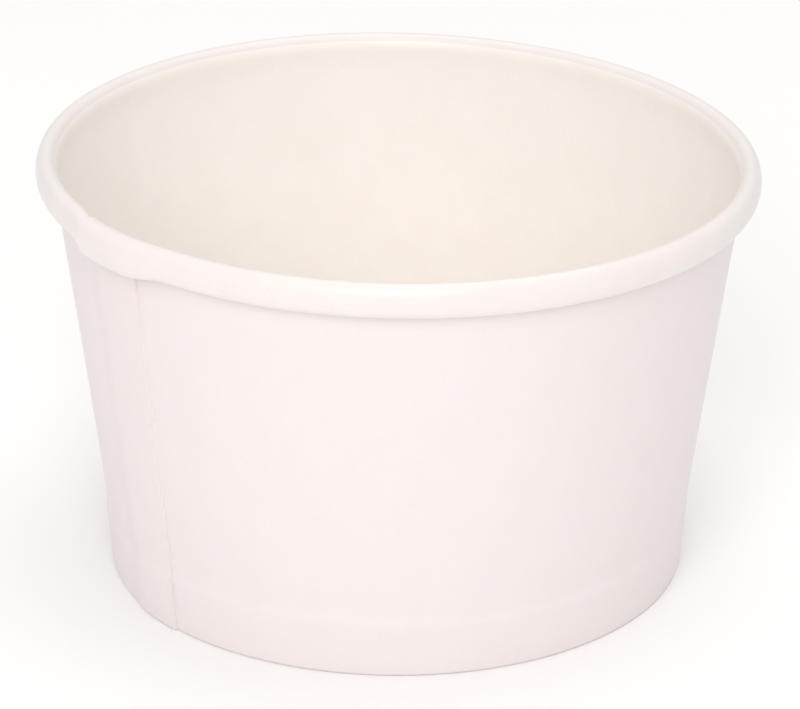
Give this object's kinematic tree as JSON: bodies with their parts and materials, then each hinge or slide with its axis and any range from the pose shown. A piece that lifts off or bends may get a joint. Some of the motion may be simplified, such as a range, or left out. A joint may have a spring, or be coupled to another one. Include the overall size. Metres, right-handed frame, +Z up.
{
  "type": "paper sundae cup",
  "caption": "Squat tapered paper cup with an outward rolled rim, a lap seam up its side and a recessed bottom sealed into a folded foot.",
  "frame": {"origin": "centre of the ring that the cup stands on, at the table", "axes": "+Z up along the cup's axis, towards its mouth"},
  "size_m": [0.09, 0.09, 0.0545],
  "materials": {
    "wall_board": "white coated cupstock, smooth, low satin",
    "bottom_board": "white coated cupstock, smooth, low satin"
  },
  "bodies": {
    "root": {"side_wall": "wall_board", "bottom_disc": "bottom_board"}
  },
  "joints": []
}
